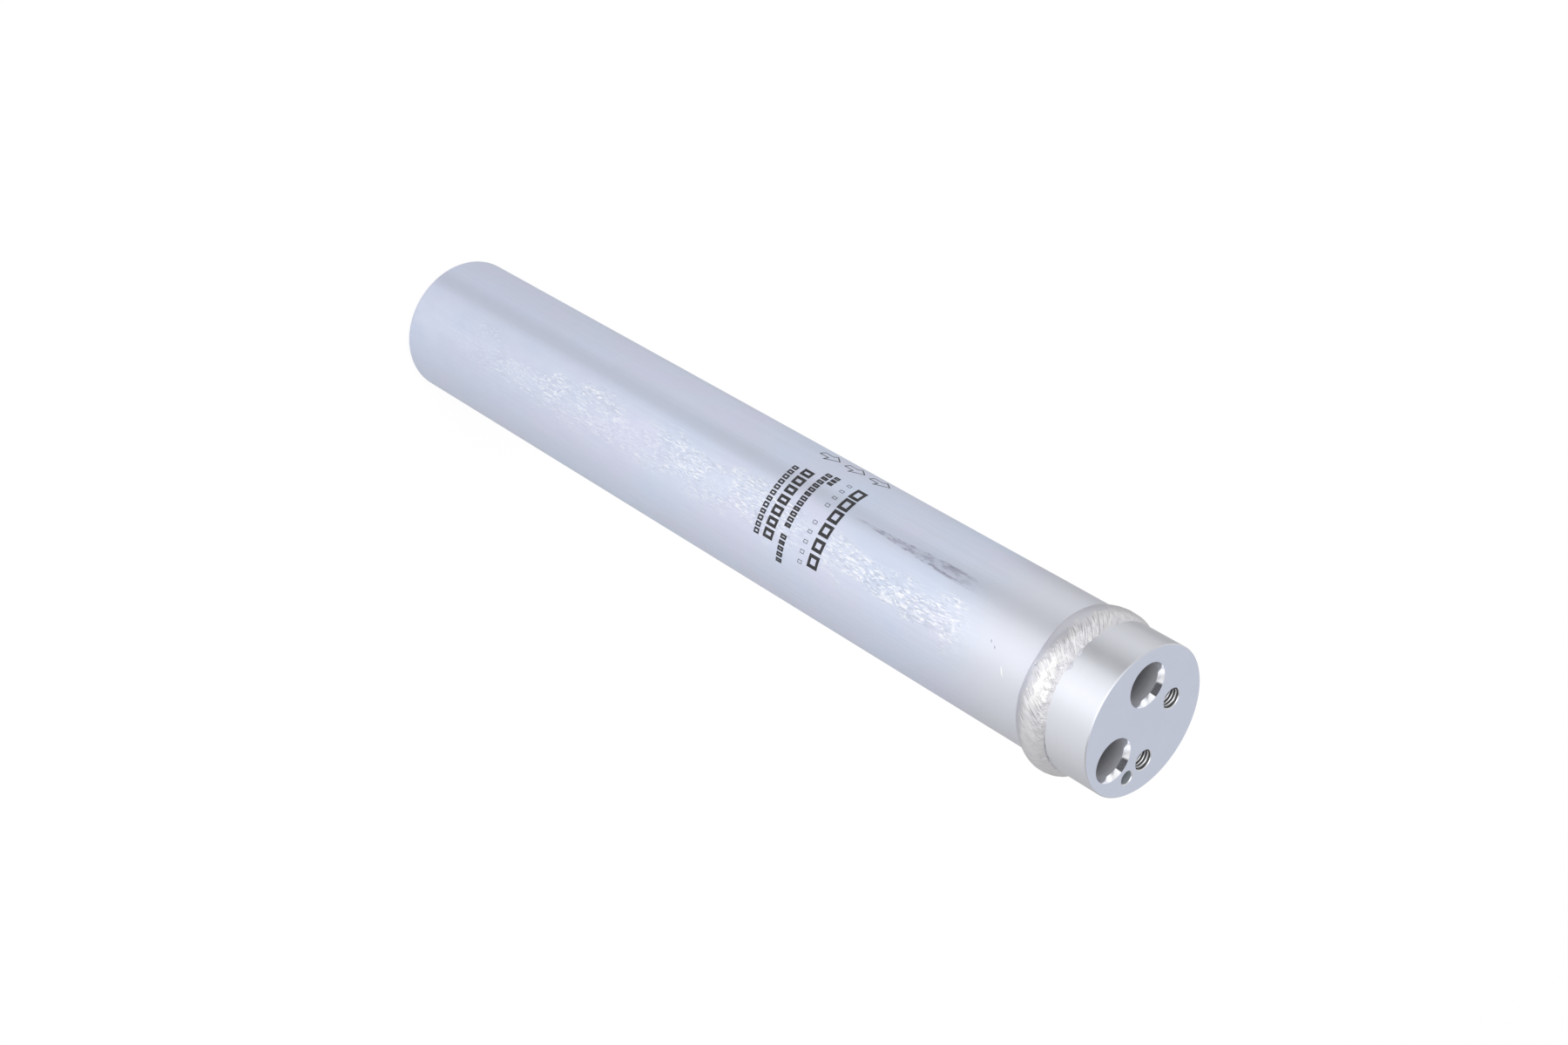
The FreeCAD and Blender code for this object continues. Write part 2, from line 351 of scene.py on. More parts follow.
def turn_of(add, place):
    """The angle of a place about the upright axis, from azimuth 180, in radians."""
    back = [add(TIMES, place.outputs[axis], -1) for axis in "YX"]
    return add("Math.ARCTAN2", *back)


def can_place(add):
    """The angle round the can in degrees, from the side that faces azimuth 180, and the
    height in millimetres."""
    place = add("SeparateXYZ", millimetres(add))
    return add("Math.DEGREES", turn_of(add, place)), place.outputs["Z"]


def spot(add, side, height, where_side, where_height, half_side, half_height):
    """1 within an ellipse round a place on the can, and 0 outside it."""
    off_side = add("Math.DIVIDE", add("Math.SUBTRACT", side, where_side), half_side)
    off_up = add("Math.DIVIDE", add("Math.SUBTRACT", height, where_height), half_height)
    return add(EASE, squares(add, off_side, off_up), 0.4, 1.0, 1.0, 0.0)


def scuff_marks(add, side, height):
    """Hair-fine wavy strokes along the can, at the crests of a sine of a stretched noise,
    with dark ones at its troughs that are painted shade of the strokes' relief, in a band
    that is dense near the weld and patchy below the print. Gives the light strokes and
    the dark ones."""
    waves_in_noise = 34
    edge_wander = 9
    bent = add("TexNoise", millimetres(add, (1, 1, 0.17)), Scale=1 / 1.1, Detail=3)
    wave = add("Math.SINE", add(TIMES, bent, waves_in_noise))
    specks = add("TexNoise", millimetres(add, (1, 1, 0.3)), Scale=1 / 0.8, Detail=3)
    patches = add("TexNoise", millimetres(add, (1, 1, 0.45)), Scale=1 / 9, Detail=3)
    torn = add("Math.ADD", side, add(EASE, patches, 0.3, 0.7, -edge_wander, edge_wander))
    dense = window(add, height, 193, 206, 247, 259)
    sparse = add(TIMES, window(add, height, 10, 70, 180, 200),
                 add(EASE, patches, 0.36, 0.6, 0.3, 0.8))
    area = add(TIMES, window(add, torn, -21, -11, 5, 17),
               add("Math.ADD", dense, sparse, use_clamp=True))
    strokes = add(TIMES, add(EASE, specks, 0.34, 0.56), area)
    light = add(TIMES, add(EASE, wave, 0.2, 0.9), strokes)
    # The dark strokes are painted shade of the strokes' relief.
    dark = add(TIMES, add(EASE, wave, -0.3, -0.95), strokes)
    return light, dark


def smudge_marks(add, side, height):
    """A dark streak along the can that widens towards the weld, made of fine streaks and
    a darker rim."""
    middle_side = -34.4
    half_side = add(EASE, height, 200, 245, 0.8, 4.6)
    off = add("Math.ABSOLUTE", add("Math.SUBTRACT", side, middle_side))
    off = add("Math.DIVIDE", off, half_side)
    fine = add("TexNoise", millimetres(add, (1, 1, 0.22)), Scale=1 / 0.8, Detail=5,
               Roughness=0.7)
    streaks = add(EASE, fine, 0.44, 0.58)
    body = add(TIMES, add(EASE, off, 0.75, 1.25, 1.0, 0.0), add(EASE, streaks, 0, 1, 0.22, 0.7))
    rim = add(TIMES, window(add, off, 0.45, 0.85, 0.95, 1.3), add(EASE, streaks, 0, 1, 0, 0.35))
    both = add("Math.ADD", body, rim, use_clamp=True)
    return add(TIMES, both, window(add, height, 200, 212, 238, 254))


def drawn_aluminium(settings):
    """Bare drawn aluminium: satin, with faint lines along the can, cool and pink tints,
    a rubbed band of bright scuffs and one dark smudge. Handling gives these marks. Painted
    shade darkens the can towards its closed end and in the scuffs' dark strokes, and one
    long dark streak down the can is a painted reflection."""
    made, add = new_material("drawn_aluminium_scuffed")
    side, height = can_place(add)
    base = settings.aluminium
    pink = (base[0] * 1.02, base[1] * 0.98, base[2])
    cool = (base[0] * 0.97, base[1], base[2] * 1.01)
    tints = add("TexNoise", millimetres(add, (1, 1, 0.6)), Scale=1 / 16)
    lines = add("TexNoise", millimetres(add, (1, 1, 0.01)), Scale=1 / 0.7)
    # Painted reflection: a long dark streak down one side of the can that fades out near the weld.
    painted_dark_reflection = add(TIMES, window(add, side, -50, -38, -35, -26),
                    add(EASE, height, 235, 262, 0.55, 0.0))
    light, dark = scuff_marks(add, side, height)
    slanted = add("Math.SUBTRACT", height, add(TIMES, side, 0.24))
    shown = add("ValToRGB", tints, stops=[(0.35, cool), (0.5, base), (0.66, pink)])
    for share, over in (
            (add(EASE, lines, 0.3, 0.7, 0.0, 0.14), dimmed(base, 0.8)),
            # Painted shade: the can is darker towards its closed end.
            (add(EASE, height, 20, 150, 0.4, 0.0), dimmed(base, 0.86)),
            (add(EASE, height, 245, 272), settings.warmed),
            # Painted reflection: the long dark streak.
            (painted_dark_reflection, dimmed(base, 0.78)),
            # Painted shade: the scuffs' dark strokes.
            (add(TIMES, dark, 0.42), dimmed(base, 0.62)),
            (add(TIMES, light, 0.8), settings.scuff),
            (smudge_marks(add, side, height), settings.smudge),
            (spot(add, side, slanted, -6.9, 265.6, 1.2, 0.22), settings.smudge),
            (spot(add, side, slanted, -4.3, 266.8, 1.2, 0.22), settings.smudge),
            (spot(add, side, slanted, 8.0, 268.85, 3.6, 0.26), settings.scuff)):
        shown = add(MIX, share, shown, over)
    clouds = add("TexNoise", millimetres(add, (1, 1, 0.5)), Scale=1 / 5, Detail=4)
    rough = add("Math.ADD", add(EASE, height, 10, 200, 0.1, 0.0),
                add(EASE, height, 228, 266, 0.56, 0.3))
    rough = add(TIMES, rough, add(EASE, clouds, 0.3, 0.7, 0.93, 1.1))
    relief = add("Math.ADD", light, add(TIMES, lines, 0.1))
    return finished(made, add, shown, (relief, 0.5, 0.015), Roughness=rough, Metallic=0.8)


def turned_aluminium(settings):
    """Turned aluminium: fine rings round the head that a lathe tool leaves, 0.3 mm apart."""
    made, add = new_material("turned_aluminium")
    base = settings.turned
    rings = add("TexNoise", millimetres(add, (0.02, 0.02, 1)), Scale=1 / 0.3, Detail=1)
    shown = add("ValToRGB", rings, stops=[(0.3, dimmed(base, 0.985)), (0.7, base)])
    clouds = add("TexNoise", millimetres(add), Scale=1 / 4, Detail=3)
    rough = add(EASE, clouds, 0.3, 0.7, 0.19, 0.23)
    return finished(made, add, shown, (rings, 0.1, 0.005), Roughness=rough, Metallic=1.0)


def faced_aluminium(settings):
    """Faced aluminium: a matt satin face with very fine rings about its middle, and a few
    small handling marks."""
    made, add = new_material("faced_aluminium")
    base = settings.faced
    place = add("SeparateXYZ", millimetres(add))
    radius = add("Math.SQRT", squares(add, place.outputs["X"], place.outputs["Y"]))
    rings = add("TexNoise.1D", W=radius, Scale=3.0, Detail=1)
    shown = add("ValToRGB", rings, stops=[(0.3, dimmed(base, 0.98)), (0.7, base)])
    marks = add("TexNoise", millimetres(add, (1, 0.35, 1)), Scale=1 / 0.8, Detail=3)
    shown = add(MIX, add(EASE, marks, 0.70, 0.78, 0.0, 0.35), shown, dimmed(base, 0.6))
    clouds = add("TexNoise", millimetres(add), Scale=1 / 6, Detail=3)
    rough = add(EASE, clouds, 0.3, 0.7, 0.3, 0.38)
    return finished(made, add, shown, (rings, 0.1, 0.005), Roughness=rough, Metallic=1.0)


def cut_aluminium(name, base, darker, hole_shade_share, **constants):
    """Tool-cut aluminium in the holes, with fine rings down them that go to darker times
    the base colour. Painted shade darkens it to hole_shade_share times that colour far
    down the hole."""
    made, add = new_material(name)
    shaded_depth_mm = 9
    face = FACE_Z / MM
    rings = add("TexNoise", millimetres(add, (0.02, 0.02, 1)), Scale=1 / 0.25, Detail=1)
    shown = add("ValToRGB", rings, stops=[(0.3, dimmed(base, darker)), (0.7, base)])
    height = add("SeparateXYZ", millimetres(add)).outputs["Z"]
    # Painted shade: darker far down the hole.
    painted_depth_shade = add(EASE, height, face - shaded_depth_mm, face, 1.0, 0.0)
    shown = add(MIX, painted_depth_shade, shown, dimmed(base, hole_shade_share))
    return finished(made, add, shown, (rings, 0.1, 0.005), **constants)


def tapped_aluminium(settings):
    """Tapped aluminium: bright crests, and grooves darkened by traces of oil and by painted
    shade. A point lies in a groove when it is farther from its hole's axis than the crests
    are."""
    made, add = new_material("tapped_aluminium")
    base = settings.tapped
    face = FACE_Z / MM
    place = add("SeparateXYZ", millimetres(add))
    far = []
    for name in ("bolt_hole_a", "bolt_hole_b"):
        x, y, crest_r = (size / MM for size in hole(name))
        off = [add("Math.SUBTRACT", place.outputs[axis], middle)
               for axis, middle in (("X", x), ("Y", y))]
        far.append(add("Math.SQRT", squares(add, *off)))
    groove = add(EASE, add("Math.MINIMUM", *far), crest_r + 0.08, crest_r + 0.32)
    below = add(EASE, place.outputs["Z"], face - 0.3, face - 0.15, 1.0, 0.0)
    # Painted shade and traces of oil: the grooves go to a tenth of the crests' colour.
    shown = add(MIX, add(TIMES, groove, below), base, dimmed(base, 0.1))
    return finished(made, add, shown, Metallic=1.0, Roughness=0.2)


def head_finishes(settings):
    """The head's finishes in the order of its parts' numbers."""
    satin = {"Roughness": 0.34, "Metallic": 0.45}
    return (turned_aluminium(settings), faced_aluminium(settings),
            cut_aluminium("polished_aluminium", settings.polished, 0.96, 0.9,
                          Roughness=0.09, Metallic=1.0),
            cut_aluminium("bored_aluminium", settings.bored, 0.85, 0.3, **satin),
            tapped_aluminium(settings),
            cut_aluminium("drilled_aluminium", settings.drilled, 0.85, 0.3, **satin))


def weld_aluminium(settings):
    """Weld metal: a clean glassy band beside the can, a bright finely rippled top with one
    patch of painted highlight, and a grainy toe on the head's side. On the rippled top, light
    lines are painted glints and dark lines are painted shade. The flow attribute holds the
    slanted arc length and the height over the joint in metres, and the share of the way
    between the toes."""
    made, add = new_material("fused_weld_aluminium")
    grey = dimmed(settings.smooth, 0.45)
    side = can_place(add)[0]
    flow = add("Attribute", attribute_name="flow").outputs["Vector"]
    across = add("SeparateXYZ", flow).outputs["Z"]
    along = add("VectorMath.MULTIPLY", flow, (1 / MM, 0.12 / MM, 0))
    lines = add("TexNoise", along, Scale=1.9, Detail=3, Distortion=0.4)
    patches = add("TexNoise", millimetres(add), Scale=1 / 2.4, Detail=3)
    grains = add("TexNoise", millimetres(add), Scale=1 / 0.26, Detail=3)
    wander = add("Math.ADD", add(EASE, patches, 0.3, 0.7, -0.12, 0.12),
                 add(EASE, side, -60, -10, -0.1, 0.02))
    shifted = add("Math.ADD", across, wander)
    toe = add(EASE, shifted, 0.68, 0.92)
    grainy = add(TIMES, toe, window(add, side, -75, -50, 15, 45))
    low_edge = add(EASE, across, 0.004, 0.022, 0.6, 0.0)
    high_edge = add(TIMES, window(add, side, 28, 42, 64, 84),
                    add(EASE, across, 0.97, 0.99, 0.0, 0.9))
    high_edge = add(TIMES, high_edge, add(EASE, patches, 0.35, 0.65, 0.25, 0.8))
    # Painted highlight: one bright patch on the bead's top.
    painted_highlight = add(TIMES, window(add, side, -28, -14, 6, 18),
                    window(add, shifted, 0.52, 0.64, 0.8, 0.92))
    strong = add(EASE, window(add, side, -80, -55, 16, 46), 0, 1, 0.3, 1.0)
    rippled = add(TIMES, window(add, shifted, 0.26, 0.46, 0.88, 1.02), strong)
    rippled = add(TIMES, rippled, add(EASE, painted_highlight, 0, 1, 1.0, 0.3))
    drips = add(EASE, across, 0.995, 1.02)
    shown = settings.smooth
    for share, over in (
            (add(EASE, shifted, 0.2, 0.46), settings.brushed),
            (add(TIMES, add(EASE, grains, 0.5, 0.64, 0.0, 0.45), grainy), grey),
            (add("Math.ADD", low_edge, high_edge), grey),
            (drips, settings.smooth),
            (painted_highlight, settings.painted_highlight),
            # Painted glints: light lines on the ripples' crests.
            (add(TIMES, add(EASE, lines, 0.52, 0.64, 0.0, 0.9), rippled), settings.painted_highlight),
            # Painted shade: dark lines in the ripples' hollows.
            (add(TIMES, add(EASE, lines, 0.36, 0.5, 0.55, 0.0), rippled), grey)):
        shown = add(MIX, share, shown, over)
    rough = add(EASE, patches, 0.3, 0.7, 0.285, 0.34)
    relief = add("Math.ADD", add(TIMES, lines, rippled), add(TIMES, grains, toe))
    return finished(made, add, shown, (relief, 0.9, 0.15), Roughness=rough, Metallic=1.0)


def stamped_ink(settings):
    """Stamped ink: a matt dark film, a little thinner in small patches."""
    made, add = new_material("stamped_ink")
    worn = add("TexNoise", millimetres(add), Scale=1 / 0.8, Detail=4)
    thin = [part + 0.04 for part in settings.ink]
    shown = add("ValToRGB", worn, stops=[(0.35, settings.ink), (0.75, thin)])
    return finished(made, add, shown, Roughness=0.55)


def plain_finish(name, hex_colour, darker, grain_mm, bump_mm, stretch=(1, 1, 1), **constants):
    """A finish with one grain: its colour goes down to darker times itself in the grain's
    hollows, and the grain stands bump_mm high."""
    made, add = new_material(name)
    grain = add("TexNoise", millimetres(add, stretch), Scale=1 / grain_mm, Detail=3)
    base = linear(hex_colour)
    shown = add("ValToRGB", grain, stops=[(0.35, dimmed(base, darker)), (0.65, base)])
    return finished(made, add, shown, (grain, 0.6, bump_mm), **constants)


def beads():
    """Packed molecular sieve beads, 2 mm across: rounded cells that darken towards their
    rims and in the gaps between them, which is painted shade.
    """
    made, add = new_material("desiccant_beads")
    cells = add("TexVoronoi", Vector=millimetres(add), Scale=1 / 2).outputs["Distance"]
    stops = [(0.3, linear("#D9CDB4")), (0.62, linear("#8C8069")), (0.8, linear("#3C362B"))]
    shown = add("ValToRGB", cells, stops=stops)
    up = add("Math.SUBTRACT", 1.0, cells)
    return finished(made, add, shown, (up, 1.0, 0.6), Roughness=0.85)


def woven(name, hex_colour, pitch_mm, metallic):
    """Woven mesh: two crossed sets of wires a pitch apart, with painted shade in the gaps
    between them.
    """
    made, add = new_material(name)
    place = add("SeparateXYZ", millimetres(add))
    waves = [add("Math.SINE", add(TIMES, place.outputs[axis], 2 * math.pi / pitch_mm))
             for axis in "XYZ"]
    crossed = add("Math.MAXIMUM", add("Math.MAXIMUM", waves[0], waves[1]), waves[2])
    base = linear(hex_colour)
    shown = add("ValToRGB", crossed, stops=[(0.1, dimmed(base, 0.12)), (0.5, base)])
    return finished(made, add, shown, (crossed, 0.8, 0.1), Roughness=0.4, Metallic=metallic)


# Pieces

def can_profile(settings):
    """The cup's closed outline (radius, height), from the middle of its base outside, up
    the side, over the bevelled mouth and down inside."""
    bore = CAN_R - settings.wall
    outer, inner = settings.corner_r, settings.inner_corner_r
    return [(0, 0), *corner(CAN_R - outer, outer, outer, -90, 0),
            (CAN_R, MOUTH_Z - settings.bevel), (CAN_R - settings.bevel, MOUTH_Z), (bore, MOUTH_Z),
            *corner(bore - inner, settings.base + inner, inner, 0, -90), (0, settings.base)]


class DRIER_OT_can(bpy.types.Operator):
    """Builds the can: one outline turned round the upright axis"""

    bl_idname = "drier.can"
    bl_label = "Can"

    def execute(self, context):
        settings = context.scene.drier_can
        columns = 256
        points = around(can_profile(settings), columns)
        piece = add_object("can_shell", points, grid_faces(len(points), columns))
        close_mesh(piece.data)
        shade(piece.data)
        piece.data.materials.append(drawn_aluminium(settings))
        stand_for(piece, "can_aluminium", "can")
        return {"FINISHED"}


def thread_surface(settings, x, y, drill_r):
    """A tapped hole from the face down. Its rows follow the helix: a row's height is the
    face's, plus a pitch for each turn, less the row's own step, kept between the face and
    the floor. Its radius is the drill's plus a triangle wave down the rows, cut flat at
    crest and root, which fades at the floor and nowhere falls below the countersink's
    cone."""
    rows_a_turn, columns = 8, 64
    floor_z = FACE_Z - settings.tap_depth
    step = settings.thread_pitch / rows_a_turn
    count = int((settings.tap_depth + settings.thread_pitch) / step) + 2
    row = np.arange(count)[:, None]
    turn = np.linspace(0, 1, columns + 1)[None, :]
    z = np.clip(FACE_Z + settings.thread_pitch * turn - step * row, floor_z, FACE_Z)
    triangle = 1 - np.abs(2 * (row / rows_a_turn % 1) - 1)
    groove = np.clip(1.35 * triangle - 0.2, 0, 1)
    run_out = 1.5 * settings.thread_pitch
    fade = np.clip((z - floor_z) / run_out, 0, 1)
    r = drill_r + (settings.thread_r - drill_r) * groove * fade
    r = np.maximum(r, settings.tap_mouth_r - (FACE_Z - z))
    angle = 2 * math.pi * turn
    return np.stack([x + r * np.cos(angle), y + r * np.sin(angle), z], -1), floor_z


def drill_point(x, y, r, z, columns):
    """The cone of 118 degrees that a drill leaves below its wall."""
    depth = r / math.tan(math.radians(118 / 2))
    return around([(r, z), (r / 2, z - depth / 2), (0, z - depth)], columns, x, y)


def flat_face(outline, holes, z):
    """Triangles of a flat face between a round outline and round holes, by a Delaunay
    triangulation of their points without those triangles whose middle is in a hole."""
    loops = [outline] + [points for points, x, y, r in holes]
    flat = np.concatenate(loops) / MM
    edges, start = [], 0
    for loop in loops:
        number = start + np.arange(len(loop))
        edges += np.stack([number, np.roll(number, -1)], -1).tolist()
        start += len(loop)
    made = delaunay_2d_cdt([Vector(p) for p in flat], edges, [], 0, 1e-6)
    points = np.array([tuple(p) for p in made[0]]) * MM
    faces = np.array(made[2])
    middle = points[faces].mean(1)
    keep = np.ones(len(faces), bool)
    for loop, x, y, r in holes:
        keep &= np.hypot(middle[:, 0] - x, middle[:, 1] - y) > r * 0.999
    points = np.column_stack([points, np.full(len(points), z)])
    return points, faces[keep]


def head_parts(settings):
    """All surfaces of the head as (points, faces, finish), in metres."""
    parts, face_holes, under_holes = [], [], []
    rim_columns, port_columns, pin_columns = 256, 96, 48
    turned, faced, polished, bored, tapped, drilled = range(6)

    def add_rings(points, finish):
        rows, columns = points.shape[:2]
        parts.append((points.reshape(-1, 3), grid_faces(rows, columns), finish))

    spigot_r = CAN_R - bpy.context.scene.drier_can.wall - settings.spigot_gap
    shoulder_r = CAN_R - settings.bevel
    side_z = np.linspace(MOUTH_Z + settings.bevel, FACE_Z - settings.edge_break, 6)
    side = around([(spigot_r - settings.spigot_lead, SPIGOT_Z),
                   (spigot_r, SPIGOT_Z + settings.spigot_lead), (spigot_r, MOUTH_Z),
                   (shoulder_r, MOUTH_Z), *[(CAN_R, z) for z in side_z],
                   (CAN_R - settings.edge_break, FACE_Z)], rim_columns)
    add_rings(side, turned)

    lead_z = FACE_Z - settings.port_lead
    floor_z = FACE_Z - settings.port_depth
    for name in ("port_a", "port_b"):
        x, y, bore_r = hole(name)
        wall = around([(settings.port_mouth_r, FACE_Z), (bore_r, lead_z), (bore_r, floor_z)],
                      port_columns, x, y)
        face_holes.append((wall[0, :, :2], x, y, settings.port_mouth_r))
        if name == "port_a":
            inner_x, inner_y, rings = x, y, [(settings.inlet_r, floor_z),
                                             (settings.inlet_r, SPIGOT_Z)]
        else:
            low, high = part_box("pickup_tube")
            inner_x, inner_y = (low.x + high.x) / 2, (low.y + high.y) / 2
            socket_z = SPIGOT_Z + settings.tube_socket
            rings = [(settings.tube_inner_r, floor_z), (settings.tube_inner_r, socket_z),
                     (settings.tube_r, socket_z), (settings.tube_r, SPIGOT_Z)]
        passage = around(rings, port_columns, inner_x, inner_y)
        add_rings(wall[:2], polished)
        add_rings(np.concatenate([wall[1:], passage]), bored)
        under_holes.append((passage[-1, :, :2], inner_x, inner_y, rings[-1][0]))

    for name in ("bolt_hole_a", "bolt_hole_b"):
        x, y, drill_r = hole(name)
        wall, wall_end = thread_surface(settings, x, y, drill_r)
        rows, columns = wall.shape[:2]
        faces = grid_faces(rows, columns).reshape(rows - 1, columns, 4)[:, :-1].reshape(-1, 4)
        parts.append((wall.reshape(-1, 3), faces, tapped))
        face_holes.append((wall[0, :-1, :2], x, y, settings.tap_mouth_r))
        add_rings(drill_point(x, y, drill_r, wall_end, columns - 1), tapped)

    x, y, pin_r = hole("pin_hole")
    pin_end = FACE_Z - MOUNTS["pin_hole"]["dims"]["length_mm"] * MM
    mouth_r = pin_r + settings.pin_break
    wall = around([(mouth_r, FACE_Z), (pin_r, FACE_Z - settings.pin_break), (pin_r, pin_end)],
                  pin_columns, x, y)
    face_holes.append((wall[0, :, :2], x, y, mouth_r))
    add_rings(wall[:2], polished)
    point = drill_point(x, y, pin_r, pin_end, pin_columns)
    add_rings(np.concatenate([wall[1:], point[1:]]), drilled)

    parts.append((*flat_face(side[-1, :, :2], face_holes, FACE_Z), faced))
    parts.append((*flat_face(side[0, :, :2], under_holes, SPIGOT_Z), turned))
    return parts


class DRIER_OT_head(bpy.types.Operator):
    """Builds the head: turned side, faced end, ports, threaded bolt holes and pin hole"""

    bl_idname = "drier.head"
    bl_label = "Head"

    def execute(self, context):
        settings = context.scene.drier_head
        points, faces, finishes, start = [], [], [], 0
        for part_points, part_faces, finish in head_parts(settings):
            points.append(part_points)
            faces += (part_faces + start).tolist()
            finishes += [finish] * len(part_faces)
            start += len(part_points)
        piece = add_object("head_block", np.concatenate(points), faces)
        for finish in head_finishes(settings):
            piece.data.materials.append(finish)
        piece.data.polygons.foreach_set("material_index", finishes)
        close_mesh(piece.data)
        shade(piece.data)
        stand_for(piece, "head_aluminium", "head")
        return {"FINISHED"}


def bead_surface(settings):
    """The bead as a closed ring of rows, and each point's place on it: its arc length
    less the ripples' slant, its height over the joint, and its share of the way across.

    Between the toes the height is an arch, one less a power of the distance from its
    crest, which lies nearer the head, times a rise that follows the cosine of the angle
    from the heavy side. Slanted ripples, slow lumps, a lip, grains at the head-side toe,
    two drips and a few pits are added."""
    columns, rows = 1200, 62
    arch_power, slant_curve = 2.3, 45
    drip_reach, film_height = 1.3 * MM, 0.22 * MM
    lip_height, pit_depth = 0.12 * MM, 0.35 * MM
    turn = np.arange(columns)[None, :] / columns
    angle = 2 * math.pi * turn
    degrees = 360 * turn
    across = np.linspace(0, 1, rows)[:, None]
    none = np.zeros_like(turn)

    # Each toe wanders slowly and finely, and two drips run on over the head.
    low = settings.low_z + 0.35 * MM * ring_noise(11, 9, 0, turn, none)
    low = low + 0.1 * MM * ring_noise(12, 48, 0, turn, none)
    drip = hill(degrees, 161, 3.4) + 0.7 * hill(degrees, 150, 3.0)
    high = settings.high_z + 0.35 * MM * ring_noise(13, 12, 0, turn, none)
    high = high + 0.14 * MM * ring_noise(14, 120, 0, turn, none)
    reach = (high + drip_reach * drip - low) / (high - low)
    share = across * reach
    z = low + (high - low) * share

    lean = np.cos(angle - math.radians(settings.heavy_side))
    rise = settings.rise + settings.rise_change * lean
    arch = 1 - np.abs(2 * np.minimum(share, 1) ** settings.skew - 1) ** arch_power
    height = arch * rise * (0.97 + 0.05 * ring_noise(15, 26, 3, turn, across))

    middle_z = z - (settings.low_z + settings.high_z) / 2
    slant = settings.slant * middle_z + slant_curve * middle_z ** 2
    back = turn - slant / (2 * math.pi * CAN_R)
    waves = round(2 * math.pi * CAN_R / settings.ripple_step)
    streak = ring_noise(19, 2 * waves, 4, back, across)
    uneven = 0.6 + 0.4 * ring_noise(17, 110, 5, turn, across)
    band = ease(across, 0.16, 0.36) * (1 - ease(across, 0.84, 0.98))
    height = height + settings.ripple * (streak * uneven - 0.5) * band

    toe = ease(across, 0.5, 0.8) * (1 - ease(across, 0.95, 1.0)) * (1 - drip)
    height = height + settings.grain * toe * ring_noise(18, 420, 30, turn, across)
    lip = lip_height * (ease(across, 0.0, 0.03) * (1 - ease(across, 0.03, 0.2)))
    film = film_height * np.minimum(drip, 1) * ease(across, 0.6, 0.8)
    film = film * (1 - ease(across, 0.97, 1))
    height = np.maximum(height + lip, film)
    # Pits: the angle in degrees, the share of the way across, and the size in millimetres
    for middle, share_across, size in ((171, 0.17, 0.35), (236, 0.9, 0.5), (243, 0.93, 0.6)):
        place = hill(degrees, middle, math.degrees(size * MM / CAN_R))
        height = height - pit_depth * place * hill(across, share_across, size / 10)
    height = np.clip(height, 0, 0.99 * rise) * (across > 0) * (across < 1)

    r = CAN_R + height
    cap = np.stack([r * np.cos(angle), r * np.sin(angle), z], -1)
    bevel = bpy.context.scene.drier_head.bevel
    root = around([(CAN_R, MOUTH_Z + bevel), (CAN_R - bevel, MOUTH_Z), (CAN_R, MOUTH_Z - bevel)],
                  columns)
    flow = np.stack([back * 2 * math.pi * CAN_R, middle_z, share], -1)
    flow = np.concatenate([flow, np.zeros_like(root)])
    return np.concatenate([cap, root]), flow


class DRIER_OT_weld(bpy.types.Operator):
    """Builds the weld bead round the joint of the can and the head"""

    bl_idname = "drier.weld"
    bl_label = "Weld bead"

    def execute(self, context):
        settings = context.scene.drier_weld
        points, flow = bead_surface(settings)
        rows, columns = flow.shape[:2]
        piece = add_object("weld_seam", points, grid_faces(rows, columns, closed=True))
        stored = piece.data.attributes.new("flow", "FLOAT_VECTOR", "POINT")
        stored.data.foreach_set("vector", flow.ravel().astype(np.float32))
        shade(piece.data, 60)
        piece.data.materials.append(weld_aluminium(settings))
        stand_for(piece, "weld_aluminium", "weld_bead")
        return {"FINISHED"}


def on_can(arc, z, lift):
    """Points of the can's outside at an arc length and a height, lifted off it."""
    angle = arc / CAN_R
    r = CAN_R + lift
    return np.stack([r * np.cos(angle), r * np.sin(angle), z], -1)


def outline_band(corners, width):
    """Rows of points for a line of that width inside a closed polygon: each corner moves
    in along the sum of its two edges' normals, over one plus their cosine."""
    steps = 8
    corners = np.asarray(corners, float)
    edge = np.roll(corners, -1, 0) - corners
    edge /= np.hypot(edge[:, 0], edge[:, 1])[:, None]
    normal = np.column_stack([-edge[:, 1], edge[:, 0]])
    before = np.roll(normal, 1, 0)
    cosine = (normal * before).sum(1)[:, None]
    inside = corners + width * (normal + before) / (1 + cosine)
    share = np.linspace(0, 1, steps, endpoint=False)[:, None]
    rows = []
    for loop in (corners, inside):
        after = np.roll(loop, -1, 0)
        rows.append((loop[:, None] * (1 - share) + after[:, None] * share).reshape(-1, 2))
    return np.stack(rows)


def ink_piece(name, settings, patches):
    """One mesh of ink from patches, each a grid of (arc, height) points and its faces."""
    points, faces, start = [], [], 0
    for flat, patch_faces in patches:
        flat = flat.reshape(-1, 2)
        points.append(on_can(flat[:, 0], flat[:, 1], settings.lift))
        faces.append(patch_faces + start)
        start += len(flat)
    piece = add_object(name, np.concatenate(points), np.concatenate(faces))
    solid = piece.modifiers.new("film", "SOLIDIFY")
    # The film's underside lies half its thickness inside the can.
    solid.thickness = settings.lift * 1.5
    solid.offset = -1
    piece.data.materials.append(bpy.data.materials.get("stamped_ink") or stamped_ink(settings))
    stand_for(piece, "print_ink")


